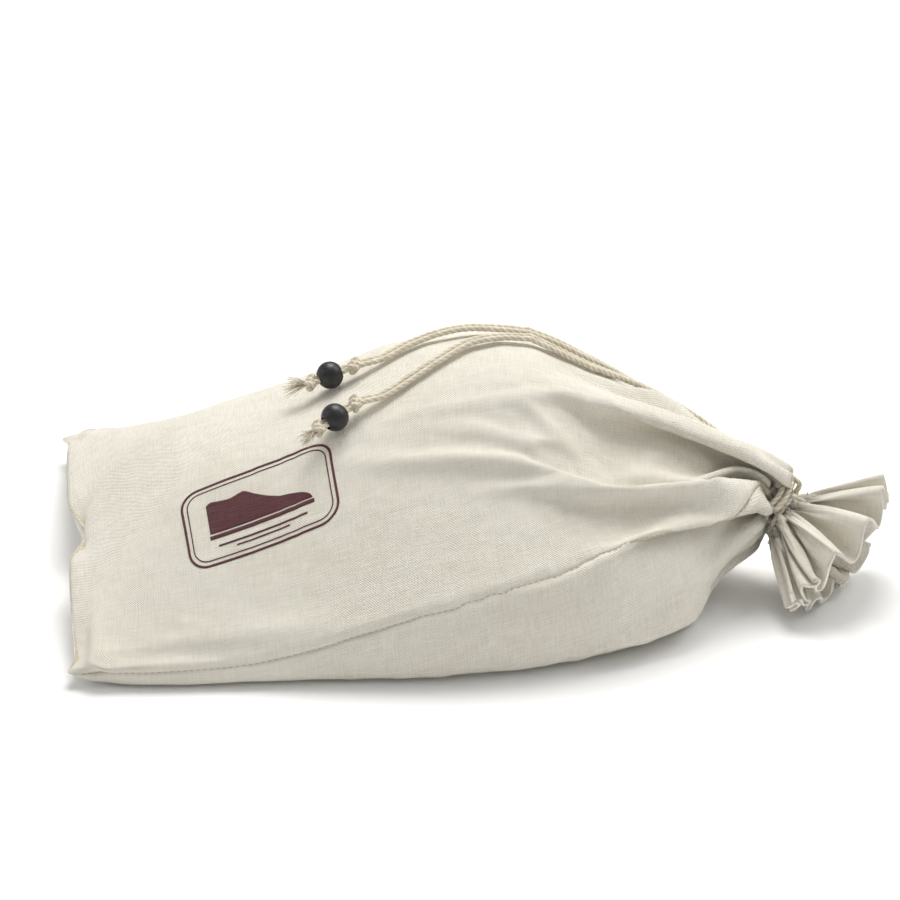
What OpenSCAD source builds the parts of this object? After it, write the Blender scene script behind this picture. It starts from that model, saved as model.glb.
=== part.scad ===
// Drawstring shoe bag, lying on its back panel and filled out, as when it holds a pair of shoes.
// The closed end is at -X, the mouth is at +X, and the cloth rests on the plane z = 0.

/* [Cloth] */
// Thickness of one layer of the cotton canvas
cloth = 1.0; // [0.6:0.1:1.2]
// Width of the seam allowance inside the bag
seam_allowance = 7; // [4:1:9]
// Diameter of the sewing thread
thread_d = 0.8; // [0.5:0.1:1.0]

/* [Neck and hem] */
// Outer radius of the gathered neck
neck_r = 14; // [13.5:0.5:15]
// Distance from the neck to the folded edge of the hem, along the neck's axis
hem_reach = 40; // [34:1:42]
// Half of the width of the flared mouth
mouth_half_width = 41; // [34:1:41]
// Half of the depth of the flared mouth
mouth_half_depth = 12; // [11:0.5:12]
// Clear height of the cord tunnel in the hem
tunnel_height = 4.2; // [3.8:0.1:4.5]
// Gathers around the mouth
gathers = 9; // [5:1:12]
// Height of each gather at the mouth
gather_height = 1.6; // [0.5:0.1:1.6]

/* [Cords and beads] */
// Diameter of the twisted cotton cord
cord_d = 2.8; // [2.4:0.1:3.0]
// Distance between the middles of the two strands of a cord
strand_pitch = 3.2; // [3.0:0.1:3.4]
// Largest diameter of a bead
bead_d = 13.4; // [12:0.2:14]
// Length of a bead along its hole
bead_length = 11.8; // [10:0.2:12]
// Radius of the hole through a bead
bead_bore_r = 3.4; // [3.2:0.1:3.6]
// Travel of a bead between its two knots
bead_travel = 3; // [2:0.5:3]
// Diameter of a knot
knot_d = 6.4; // [6:0.2:7]

/* [Hidden] */

canvas_colour = [0.93, 0.90, 0.81];
seam_colour = [0.86, 0.80, 0.68];
thread_colour = [0.78, 0.70, 0.56];
print_colour = [0.37, 0.17, 0.19];
cord_colour = [0.90, 0.86, 0.74];
bead_colour = [0.07, 0.07, 0.07];

// Each station is a cross-section: its x at y = 0, how far x changes per millimetre of y, and
// [y, z] of near seam, three points up the near slope and ridge, top, far shoulder, far seam,
// far bulge, far floor edge, middle of the floor, near floor edge and near bulge.
STATIONS = [
  [-198, -0.060, [[-123, 4], [-87, 7], [-53, 14], [-19, 22], [31, 18], [83, 13], [130, 10],
                  [83, 10], [31, 15], [-19, 19], [-53, 11], [-87, 4]]],
  [-189, -0.058, [[-127, 4], [-93, 16], [-59, 26], [-23, 31], [30, 36], [84, 29], [132, 11],
                  [115, 5], [85, 2], [-15, 3], [-107, 1], [-123, 1]]],
  [-169, -0.050, [[-129, 5], [-94, 25], [-61, 38], [-25, 43], [30, 49], [83, 39], [131, 13],
                  [124, 4], [103, 0], [-15, 0], [-115, 0], [-128, 1]]],
  [-139, -0.035, [[-129, 7], [-93, 35], [-61, 55], [-30, 65], [30, 65], [83, 42], [125, 16],
                  [119, 5], [103, 0], [-15, 0], [-116, 0], [-128, 2]]],
  [-107, -0.020, [[-129, 11], [-92, 43], [-62, 65], [-37, 77], [25, 78], [73, 58], [116, 20],
                  [112, 6], [97, 0], [-15, 0], [-116, 0], [-128, 4]]],
  [-73, 0.000, [[-129, 20], [-94, 51], [-64, 75], [-37, 88], [20, 90], [70, 69], [109, 26],
                [107, 8], [93, 0], [-15, 0], [-116, 0], [-129, 7]]],
  [-38, 0.000, [[-129, 31], [-96, 60], [-66, 85], [-36, 101], [19, 105], [66, 86], [103, 32],
                [102, 10], [88, 0], [-15, 0], [-121, 0], [-131, 13]]],
  [-3, 0.000, [[-127, 40], [-95, 68], [-65, 93], [-34, 111], [15, 114], [61, 91], [99, 36],
               [97, 12], [83, 0], [-15, 0], [-118, 0], [-130, 16]]],
  [30, 0.000, [[-121, 46], [-91, 71], [-63, 96], [-37, 114], [5, 117], [49, 95], [90, 38],
               [87, 14], [72, 0], [-15, 0], [-113, 0], [-125, 18]]],
  [60, 0.000, [[-110, 50], [-87, 63], [-60, 79], [-29, 97], [5, 101], [37, 84], [73, 40],
               [69, 15], [51, 0], [-20, 0], [-103, 0], [-116, 20]]],
  [88, 0.000, [[-95, 44], [-77, 58], [-57, 72], [-31, 88], [-1, 87], [25, 71], [47, 40],
               [43, 18], [25, 1], [-30, 0], [-87, 0], [-102, 18]]],
  [112, 0.000, [[-75, 38], [-62, 51], [-47, 64], [-29, 75], [-6, 74], [14, 60], [23, 40],
                [19, 21], [1, 4], [-27, 1], [-65, 1], [-82, 16]]],
  [129, 0.000, [[-54, 45], [-46, 54], [-36, 61], [-25, 64], [-12, 61], [-3, 50], [-2, 38],
                [-6, 25], [-19, 15], [-33, 12], [-49, 13], [-58, 29]]]];

// Middle of the neck, the way that the hem points, and the two directions across it
neck = [148, -30, 36];
hem_out = unit([32, -21, -16]);
across = unit([45, 67, 40] - ([45, 67, 40] * hem_out) * hem_out);
upward = cross(hem_out, across);
near_seam_angle = 112;
far_seam_angle = near_seam_angle - 180;

// Cords: the middle line of each pair of strands, from the crest down to the neck, then each
// strand's way around the neck and into the tunnel
NEAR_RUN = [[29, -5, 119.8], [42, -7, 113.8], [57, -6, 105.4], [72, -1, 97], [87, 6, 87],
            [102, 6, 77.5], [117, -1, 69]];
NEAR_WRAP_A = [[128, -12.5, 64], [150, -24, 56], [148.5, -36.5, 51], [142, -42, 45],
               [140, -40, 42.5]];
NEAR_WRAP_B = [[130, -9.5, 63], [152.5, -24.5, 53.5], [151, -38, 49.5], [146, -43.5, 45],
               [144.5, -41, 43.5]];
FAR_RUN = [[29, 7, 118.2], [42, 4, 113.7], [57, 5, 105], [72, 9, 95], [87, 15, 82.8],
           [102, 14, 72.4], [117, 7, 62.8]];
FAR_WRAP_A = [[128, -5, 58.5], [154, -16.5, 49], [156, -16, 41.5], [155.5, -15.5, 35],
              [154, -18.5, 30]];
FAR_WRAP_B = [[131, -3, 57], [157.5, -18, 48], [158.5, -17.5, 40.5], [157, -17.5, 33],
              [153.5, -21, 25]];
// Tails: the middle line of each pair of strands, from the crest to the inner knot
NEAR_TAIL = [[27.5, -5, 119.9], [15, -4, 120.2], [0, -5, 118.2], [-15, -14, 113.8],
             [-30, -24, 108], [-43, -31.5, 103]];
FAR_TAIL = [[27.5, 7, 118.4], [15, 10, 118.8], [0, 15, 117.4], [-14, 16, 114.6],
            [-30, 12, 110.2], [-42, 5, 106.8]];
near_bead_at = [-66, -43, 97.1];
near_bead_axis = unit([-10, -7, -4]);
far_bead_at = [-67.5, -2.5, 101.4];
far_bead_axis = unit([-12, -3, -3.5]);

seam_points = 6;
stations = len(STATIONS);
row_steps = 2;
side_steps = 3;
hem_steps = 26;
exit_angle = 26;
tunnel_start = -4;
tunnel_end = 7;
near_loop_at = -1.6;
far_loop_at = 2.8;
loop_points = 7;
fold_gap = 0.2;
ply_gap = 0.35;
knot_length = 7;
knot_clearance = 0.4;
emblem_rows = [2.9, 5.0];
emblem_sides = [1.3, 2.5];
round_fn = 48;

function unit(v) = v / norm(v);
function mix(a, b, t) = a + (b - a) * t;
function clamp(i, last) = max(0, min(last, i));

// Point at t between b and c on the smooth curve through a, b, c and d
function between(a, b, c, d, t) =
    0.5 * (2 * b + (c - a) * t + (2 * a - 5 * b + 4 * c - d) * t * t
           + (3 * b - a - 3 * c + d) * t * t * t);

// Point at parameter s on the smooth curve through a list of points
function along(points, s) =
    let (last = len(points) - 1)
    let (i = clamp(floor(s), last - 1))
    between(points[clamp(i - 1, last)], points[i], points[i + 1],
            points[clamp(i + 2, last)], s - i);

function share(value, low, high) = max(0, min(1, (value - low) / (high - low)));

// Point of the hem at an angle around the neck, a distance along its axis and a depth under
// its outer face
function hem_point(angle, distance, depth) =
    let (flare = share(distance, tunnel_end, hem_reach))
    let (wave = gather_height * flare * cos(gathers * (angle - near_seam_angle)))
    let (a = mix(neck_r, mouth_half_width, flare) - depth + wave)
    let (b = mix(neck_r, mouth_half_depth, flare) - depth + wave)
    neck + distance * hem_out + a * cos(angle) * across + b * sin(angle) * upward;

// The net of points that the panels follow: the stations, then the start of the hem
function station_point(station, i) =
    let (p = station[2][i % (2 * seam_points)])
    [station[0] + station[1] * p[0], p[0], p[1]];
function net_point(row, i) =
    row < stations ? station_point(STATIONS[row], i)
    : hem_point(near_seam_angle - i * 180 / seam_points, tunnel_start - ply_gap, 0);

// Row of the panel between two seams, with first = 0 for the front and 6 for the back
function panel_row(s, first) =
    let (net = [for (i = [first : first + seam_points])
                along([for (row = [0 : stations]) net_point(row, i)], s)])
    [for (k = [0 : seam_points * side_steps])
        let (p = along(net, k / side_steps))
        [p[0], p[1], max(0, p[2])]];
function panel_grid(first) =
    [for (k = [0 : stations * row_steps]) panel_row(k / row_steps, first)];

// Outward direction at a point of a grid
function grid_normal(grid, i, k) =
    let (rows = len(grid) - 1)
    let (cols = len(grid[0]) - 1)
    unit(cross(grid[clamp(i + 1, rows)][k] - grid[clamp(i - 1, rows)][k],
               grid[i][clamp(k + 1, cols)] - grid[i][clamp(k - 1, cols)]));
function offset_grid(grid, distance) =
    [for (i = [0 : len(grid) - 1]) [for (k = [0 : len(grid[0]) - 1])
        grid[i][k] + distance * grid_normal(grid, i, k)]];

// A four-sided face as two triangles
function halves(f) = [[f[0], f[1], f[2]], [f[0], f[2], f[3]]];

// Closed solid between two grids of the same size
module between_grids(outer, inner) {
    rows = len(outer);
    cols = len(outer[0]);
    other = rows * cols;
    last_row = (rows - 1) * cols;
    points = concat([for (r = outer) for (p = r) p], [for (r = inner) for (p = r) p]);
    skin = [for (i = [0 : rows - 2]) for (k = [0 : cols - 2])
            let (a = i * cols + k)
            each halves([a, a + 1, a + cols + 1, a + cols])];
    lining = [for (f = skin) [f[2] + other, f[1] + other, f[0] + other]];
    ends = [for (k = [0 : cols - 2])
            let (b = last_row + k)
            each concat(halves([k + 1, k, k + other, k + 1 + other]),
                        halves([b, b + 1, b + 1 + other, b + other]))];
    sides = [for (i = [0 : rows - 2])
             let (a = i * cols)
             let (b = a + cols - 1)
             each concat(halves([a, a + cols, a + cols + other, a + other]),
                         halves([b + cols, b, b + other, b + cols + other]))];
    polyhedron(points, concat(skin, lining, ends, sides), convexity = 8);
}

// Forward and sideways directions at each point of a route
function route_forward(points, i) =
    unit(points[clamp(i + 1, len(points) - 1)] - points[clamp(i - 1, len(points) - 1)]);
function route_side(points, i) =
    let (forward = route_forward(points, i))
    let (level = cross(forward, [0, 0, 1]))
    norm(level) > 0.25 ? unit(level) : unit(cross(forward, [0, 1, 0]));
// The route moved sideways by a distance
function beside(points, distance) =
    [for (i = [0 : len(points) - 1]) points[i] + distance * route_side(points, i)];
function reversed(points) = [for (i = [len(points) - 1 : -1 : 0]) points[i]];

// Round tube swept along a route
module tube(points, d, sides = 8) {
    count = len(points);
    rings = [for (i = [0 : count - 1])
             let (side = route_side(points, i))
             let (up = cross(side, route_forward(points, i)))
             for (k = [0 : sides - 1])
             points[i] + d / 2 * (cos(360 * k / sides) * side + sin(360 * k / sides) * up)];
    walls = [for (i = [0 : count - 2]) for (k = [0 : sides - 1])
             let (n = (k + 1) % sides)
             each halves([i * sides + k, i * sides + n,
                          (i + 1) * sides + n, (i + 1) * sides + k])];
    first = [for (k = [sides - 1 : -1 : 0]) k];
    final = [for (k = [0 : sides - 1]) (count - 1) * sides + k];
    polyhedron(rings, concat(walls, [first, final]), convexity = 8);
}

// Turns the Z axis onto a direction
module along_axis(at, direction) {
    translate(at)
        rotate([0, acos(direction[2]), atan2(direction[1], direction[0])])
            children();
}

// One cloth panel from the closed end to the neck
module panel(first) {
    grid = panel_grid(first);
    between_grids(grid, offset_grid(grid, -cloth));
}
module front_panel() {
    color(canvas_colour) panel(0);
}
module back_panel() {
    color(canvas_colour) panel(seam_points);
}

// Hem: each panel's edge turned to the inside, lying double at the mouth and standing apart at
// the neck, where it makes the cord tunnel
function ply_depth(distance) =
    mix(cloth + tunnel_height, cloth + fold_gap, share(distance, tunnel_end, tunnel_end + 3));
hem_distances = [tunnel_start, 0, 4, tunnel_end, tunnel_end + 3, 15, 20, 25, 30, 35,
                 hem_reach - cloth];
function hem_fold(face) = concat(
    [for (d = hem_distances) [d, face ? 0 : cloth]],
    [[hem_reach - (face ? 0 : cloth), cloth + fold_gap / 2]],
    [for (i = [len(hem_distances) - 1 : -1 : 0])
        let (d = hem_distances[i])
        [d, ply_depth(d) + (face ? cloth : 0)]]);
// Angle at a share of the way from one exit to the other, closing up beyond the tunnel
function hem_angle(from, to, from_exit, to_exit, k, distance) =
    let (open = 1 - share(distance, tunnel_end + 1, tunnel_end + 8))
    mix(from + sign(to - from) * (from_exit * open + 0.3),
        to - sign(to - from) * (to_exit * open + 0.3), k);
module hem(from, to, from_exit, to_exit) {
    grids = [for (face = [true, false])
             [for (i = [0 : hem_steps])
              [for (p = hem_fold(face))
               hem_point(hem_angle(from, to, from_exit, to_exit, i / hem_steps, p[0]),
                         p[0], p[1])]]];
    between_grids(grids[1], grids[0]);
}
module front_hem() {
    color(canvas_colour) hem(near_seam_angle, far_seam_angle, 0, 0);
}
module back_hem() {
    color(canvas_colour)
        hem(far_seam_angle, near_seam_angle - 360, exit_angle, exit_angle);
}

// Side seams: a doubled strip of seam allowance that points into the bag
function seam_line(k, i) = panel_row(k, 0)[i];
function seam_inward(k, i) =
    let (roof = panel_row(k, 0)[seam_points * side_steps / 2])
    let (floor_point = panel_row(k, seam_points)[seam_points * side_steps / 2])
    unit((roof + floor_point) / 2 - seam_line(k, i));
module side_seam(i, first_row) {
    rows = [for (r = [first_row : 0.5 : stations - 0.5]) r];
    line = [for (r = rows) seam_line(r, i)];
    grid = [for (k = [0 : len(rows) - 1])
            let (inward = seam_inward(rows[k], i))
            [line[k] + 1.6 * inward, line[k] + (1.6 + seam_allowance) * inward]];
    thick = offset_grid(grid, i == 0 ? 0.9 : -0.9);
    between_grids(i == 0 ? thick : grid, i == 0 ? grid : thick);
}
module side_seam_thread(i, first_row) {
    tube([for (r = [first_row : 0.5 : stations - 1])
          seam_line(r, i) + (2.2 + seam_allowance) * seam_inward(r, i)], thread_d, 6);
}
module near_side_seam() {
    color(seam_colour) side_seam(0, 1);
}
module far_side_seam() {
    color(seam_colour) side_seam(seam_points * side_steps, 1);
}
module near_seam_thread() {
    color(thread_colour) side_seam_thread(0, 1.5);
}
module far_seam_thread() {
    color(thread_colour) side_seam_thread(seam_points * side_steps, 1.5);
}

// Closed end: the seam allowance lies between the two panels
function end_line(reach) =
    let (roof = panel_row(0, 0))
    let (under = reversed(panel_row(0, seam_points)))
    [for (k = [1 : len(roof) - 2]) (roof[k] + under[k]) / 2 + [reach, 0, 0]];
module bottom_seam() {
    grid = [end_line(0.4), end_line(seam_allowance)];
    color(seam_colour)
        between_grids(offset_grid(grid, 0.4), offset_grid(grid, -0.4));
}
module bottom_seam_thread() {
    color(thread_colour) tube(end_line(seam_allowance + 0.6), thread_d, 6);
}

// Two rows of stitches hold the tunnel, below and above the cords
module hem_row(from, to, from_exit, to_exit, distance) {
    tube([for (i = [0 : hem_steps])
          hem_point(hem_angle(from, to, from_exit + 3, to_exit + 3, i / hem_steps, distance),
                    distance, 0)], thread_d, 6);
}
module front_hem_stitching() {
    color(thread_colour) {
        hem_row(near_seam_angle, far_seam_angle, 0, 0, tunnel_start + 1);
        hem_row(near_seam_angle, far_seam_angle, 0, 0, tunnel_end + 3);
    }
}
module back_hem_stitching() {
    color(thread_colour) {
        hem_row(far_seam_angle, near_seam_angle - 360, exit_angle, exit_angle,
                tunnel_start + 1);
        hem_row(far_seam_angle, near_seam_angle - 360, exit_angle, exit_angle,
                tunnel_end + 3);
    }
}

// A film of ink on the near slope of the front panel
module printed_emblem() {
    grid = [for (s = [emblem_rows[0] : 0.3 : emblem_rows[1]])
            [for (k = [emblem_sides[0] : 0.2 : emblem_sides[1]])
             let (net = [for (i = [0 : seam_points])
                         along([for (row = [0 : stations]) net_point(row, i)], s)])
             along(net, k)]];
    color(print_colour)
        between_grids(offset_grid(grid, 0.35), offset_grid(grid, 0.15));
}

// One cord: down to the neck, once around it inside the tunnel, and back up
function cord_loop(start, finish, distance) =
    [for (k = [0 : loop_points - 1])
        neck + distance * hem_out
        + (neck_r - cloth - tunnel_height / 2)
          * (cos(mix(start, finish, k / (loop_points - 1))) * across
             + sin(mix(start, finish, k / (loop_points - 1))) * upward)];
module cord(run, wrap_a, wrap_b, loop) {
    tube(concat(beside(run, -strand_pitch / 2), wrap_a, loop, reversed(wrap_b),
                reversed(beside(run, strand_pitch / 2))), cord_d);
}
module near_cord() {
    color(cord_colour)
        cord(NEAR_RUN, NEAR_WRAP_A, NEAR_WRAP_B,
             cord_loop(near_seam_angle + 38, near_seam_angle + 346, near_loop_at));
}
module far_cord() {
    color(cord_colour)
        cord(FAR_RUN, FAR_WRAP_A, FAR_WRAP_B,
             cord_loop(far_seam_angle + 14, far_seam_angle + 322, far_loop_at));
}

// Tails: both strands lie on the front panel and run through the bead into the end knot
function tail_route(tail, bead_at, axis) =
    concat(tail, [bead_at - axis * inner_knot_offset, bead_at + axis * end_knot_offset]);
inner_knot_offset = bead_length / 2 + bead_travel + knot_length / 2 + knot_clearance;
end_knot_offset = bead_length / 2 + knot_length / 2 + knot_clearance;
module cord_tail(tail, bead_at, axis) {
    route = tail_route(tail, bead_at, axis);
    tube(beside(route, -strand_pitch / 2), cord_d);
    tube(beside(route, strand_pitch / 2), cord_d);
}
module near_cord_tail() {
    color(cord_colour) cord_tail(NEAR_TAIL, near_bead_at, near_bead_axis);
}
module far_cord_tail() {
    color(cord_colour) cord_tail(FAR_TAIL, far_bead_at, far_bead_axis);
}

// Bead: round in the middle, a little flat at the two ends of its hole
module bead(at, axis) {
    half = bead_length / 2;
    color(bead_colour)
        along_axis(at, axis)
            rotate_extrude($fn = round_fn)
                polygon(concat([[bead_bore_r, half * 0.94], [bead_bore_r, -half * 0.94]],
                               [for (a = [-64 : 16 : 64])
                                [bead_d / 2 * cos(a), half * sin(a) / sin(64)]]));
}
module near_bead() {
    bead(near_bead_at, near_bead_axis);
}
module far_bead() {
    bead(far_bead_at, far_bead_axis);
}

// Knot: a round lump around both strands
module knot(at, axis, length) {
    color(cord_colour)
        along_axis(at, axis)
            rotate_extrude($fn = round_fn)
                polygon([[0, -length / 2], [knot_d * 0.34, -length / 2],
                         [knot_d / 2, -length / 4], [knot_d / 2, length / 4],
                         [knot_d * 0.34, length / 2], [0, length / 2]]);
}
module near_inner_knot() {
    knot(near_bead_at - near_bead_axis * inner_knot_offset, near_bead_axis, knot_length);
}
module far_inner_knot() {
    knot(far_bead_at - far_bead_axis * inner_knot_offset, far_bead_axis, knot_length);
}
module near_end_knot() {
    knot(near_bead_at + near_bead_axis * end_knot_offset, near_bead_axis, knot_length);
}
module far_end_knot() {
    knot(far_bead_at + far_bead_axis * end_knot_offset, far_bead_axis, knot_length);
}

front_panel();
back_panel();
front_hem();
back_hem();
near_side_seam();
far_side_seam();
bottom_seam();
near_seam_thread();
far_seam_thread();
bottom_seam_thread();
front_hem_stitching();
back_hem_stitching();
printed_emblem();
near_cord();
far_cord();
near_cord_tail();
far_cord_tail();
near_bead();
far_bead();
near_inner_knot();
far_inner_knot();
near_end_knot();
far_end_knot();
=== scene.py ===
import math

import bmesh
import bpy
import numpy as np
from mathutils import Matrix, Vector
from mathutils.bvhtree import BVHTree


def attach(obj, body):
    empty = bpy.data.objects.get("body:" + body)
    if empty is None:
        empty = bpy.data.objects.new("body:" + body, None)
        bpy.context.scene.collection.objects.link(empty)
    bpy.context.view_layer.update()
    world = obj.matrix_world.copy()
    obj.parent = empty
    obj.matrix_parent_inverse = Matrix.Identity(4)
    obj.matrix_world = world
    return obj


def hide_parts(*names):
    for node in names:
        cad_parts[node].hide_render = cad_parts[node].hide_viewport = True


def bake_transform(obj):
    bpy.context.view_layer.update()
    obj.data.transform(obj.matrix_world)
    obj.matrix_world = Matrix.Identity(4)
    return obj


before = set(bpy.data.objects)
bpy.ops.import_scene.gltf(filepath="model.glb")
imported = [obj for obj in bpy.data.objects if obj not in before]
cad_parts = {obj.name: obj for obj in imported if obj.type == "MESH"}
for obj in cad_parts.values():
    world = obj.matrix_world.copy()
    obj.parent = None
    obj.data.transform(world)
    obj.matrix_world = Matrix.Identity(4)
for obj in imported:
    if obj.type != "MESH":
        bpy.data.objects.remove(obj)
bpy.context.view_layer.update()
scene = bpy.context.scene

# Studio: a pale floor that curves up out of sight, a large soft light overhead, a weaker one on
# each side, and a camera that looks down onto the bag's near side.
bpy.ops.object.select_all(action="DESELECT")
bpy.ops.object.camera_add(location=(-0.0879, -1.4956, 0.7418))
camera = bpy.context.object
camera.name = "studio_camera"
aim = Vector((-0.0027, 0.1299, 0.0)) - camera.location
camera.rotation_euler = aim.to_track_quat("-Z", "Y").to_euler()
camera.data.lens = 135
camera.data.sensor_width = 36
camera.data.clip_end = 20
scene.camera = camera

bpy.ops.mesh.primitive_grid_add(x_subdivisions=24, y_subdivisions=24, size=9.0, location=(0, 1.5, 0))
studio_floor = bpy.context.object
studio_floor.name = "studio_floor"
bpy.ops.object.transform_apply(location=True, rotation=True, scale=True)
for corner in studio_floor.data.vertices:
    rise = max(0.0, corner.co.y - 1.6)
    corner.co.z = -0.0006 + 0.28 * rise * rise
for face in studio_floor.data.polygons:
    face.use_smooth = True
floor_paper = bpy.data.materials.new("white_studio_paper")
floor_paper.use_nodes = True
paper = floor_paper.node_tree
shader = paper.nodes["Principled BSDF"]
shader.inputs["Roughness"].default_value = 0.95
grain = paper.nodes.new("ShaderNodeTexNoise")
grain.inputs["Scale"].default_value = 3.0
tint = paper.nodes.new("ShaderNodeMix")
tint.data_type = "RGBA"
tint.inputs["A"].default_value = (0.93, 0.93, 0.93, 1)
tint.inputs["B"].default_value = (0.95, 0.95, 0.95, 1)
where = paper.nodes.new("ShaderNodeTexCoord")
paper.links.new(where.outputs["Object"], grain.inputs["Vector"])
paper.links.new(grain.outputs["Fac"], tint.inputs["Factor"])
paper.links.new(tint.outputs["Result"], shader.inputs["Base Color"])
studio_floor.data.materials.append(floor_paper)

sky = bpy.data.worlds.new("studio_sky")
sky.use_nodes = True
sky.node_tree.nodes["Background"].inputs["Color"].default_value = (1.0, 1.0, 1.0, 1)
sky.node_tree.nodes["Background"].inputs["Strength"].default_value = 0.53
scene.world = sky
scene.view_settings.view_transform = "Standard"
for label, place, size, power in (
    ("overhead_softbox", (0.10, 0.58, 1.45), 1.0, 18.5),
    ("left_softbox", (-1.4, 0.0, 0.8), 0.7, 1.6),
    ("right_softbox", (1.0, 0.3, 1.1), 0.8, 5.0),
):
    bpy.ops.object.light_add(type="AREA", location=place)
    lamp = bpy.context.object
    lamp.name = label
    lamp.data.shape = "DISK"
    lamp.data.size = size
    lamp.data.energy = power
    lamp.data.color = (1.0, 0.985, 0.96)
    lamp.rotation_euler = (Vector((0, 0, 0.03)) - lamp.location).to_track_quat("-Z", "Y").to_euler()


# Draw cords: two soft three-ply cotton cords, 2.8 mm thick. Each goes once around the neck
# inside the hem, comes out in two strands that run back over the crest of the bag, through
# a round bead, and ends in knots.
CORD = 0.0028
PITCH = 0.0032
NEAR_RUN = [[29, -5, 119.8], [42, -7, 113.8], [57, -6, 105.4], [72, -1, 97], [87, 6, 87],
            [102, 6, 77.5], [117, -1, 69]]
NEAR_WRAP_A = [[128, -12.5, 64], [150, -24, 56], [148.5, -36.5, 51], [142, -42, 45],
               [140, -40, 42.5]]
NEAR_WRAP_B = [[130, -9.5, 63], [152.5, -24.5, 53.5], [151, -38, 49.5], [146, -43.5, 45],
               [144.5, -41, 43.5]]
FAR_RUN = [[29, 7, 118.2], [42, 4, 113.7], [57, 5, 105], [72, 9, 95], [87, 15, 82.8],
           [102, 14, 72.4], [117, 7, 62.8]]
FAR_WRAP_A = [[128, -5, 58.5], [154, -16.5, 49], [156, -16, 41.5], [155.5, -15.5, 35],
              [154, -18.5, 30]]
FAR_WRAP_B = [[131, -3, 57], [157.5, -18, 48], [158.5, -17.5, 40.5], [157, -17.5, 33],
              [153.5, -21, 25]]
NEAR_TAIL = [[27.5, -5, 119.9], [15, -4, 120.2], [0, -5, 118.2], [-15, -14, 113.8],
             [-30, -24, 108], [-43, -31.5, 103]]
FAR_TAIL = [[27.5, 7, 118.4], [15, 10, 118.8], [0, 15, 117.4], [-14, 16, 114.6],
            [-30, 12, 110.2], [-42, 5, 106.8]]
NEAR_BEAD = Vector((-0.066, -0.043, 0.0971))
FAR_BEAD = Vector((-0.0675, -0.0025, 0.1014))
NEAR_AXIS = Vector((-10, -7, -4)).normalized()
FAR_AXIS = Vector((-12, -3, -3.5)).normalized()
KNOT_BEFORE = 0.0128
KNOT_AFTER = 0.0098
NEAR_HINGE = Vector((0.029, -0.005, 0.1198))
FAR_HINGE = Vector((0.029, 0.007, 0.1182))
LAY = 0.0098
PATH_STEP = 0.0009

NECK = Vector((0.148, -0.030, 0.036))
OUT = Vector((32, -21, -16)).normalized()
ACROSS = Vector((45, 67, 40))
ACROSS = (ACROSS - ACROSS.dot(OUT) * OUT).normalized()
UPWARD = OUT.cross(ACROSS)
TUNNEL_RADIUS = 0.0109


def metres(points):
    return [Vector(p) / 1000 for p in points]


def beside(points, distance):
    moved = []
    for i, p in enumerate(points):
        forward = (points[min(i + 1, len(points) - 1)] - points[max(i - 1, 0)]).normalized()
        level = forward.cross(Vector((0, 0, 1)))
        if level.length < 0.25:
            level = forward.cross(Vector((0, 1, 0)))
        moved.append(p + distance * level.normalized())
    return moved


def around_neck(start, finish, distance):
    turns = [math.radians(start + (finish - start) * k / 6) for k in range(7)]
    return [NECK + distance * OUT + TUNNEL_RADIUS * (math.cos(t) * ACROSS + math.sin(t) * UPWARD)
            for t in turns]


def smooth_line(points, spacing):
    dense = []
    last = len(points) - 1
    for i in range(last):
        a, b = points[max(i - 1, 0)], points[i]
        c, d = points[i + 1], points[min(i + 2, last)]
        steps = max(2, int((c - b).length / spacing * 3))
        for k in range(steps):
            t = k / steps
            dense.append(0.5 * (2 * b + (c - a) * t + (2 * a - 5 * b + 4 * c - d) * t * t
                                + (3 * b - a - 3 * c + d) * t ** 3))
    dense.append(points[-1])
    line = np.array(dense)
    run = np.r_[0, np.cumsum(np.linalg.norm(np.diff(line, axis=0), axis=1))]
    count = max(3, int(run[-1] / spacing) + 1)
    even = np.linspace(0, run[-1], count)
    return [Vector([np.interp(s, run, line[:, axis]) for axis in range(3)]) for s in even]


def placed(name, mesh):
    thing = bpy.data.objects.new(name, mesh)
    scene.collection.objects.link(thing)
    return thing


def pick(thing):
    bpy.ops.object.select_all(action="DESELECT")
    bpy.context.view_layer.objects.active = thing
    thing.select_set(True)


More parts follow.
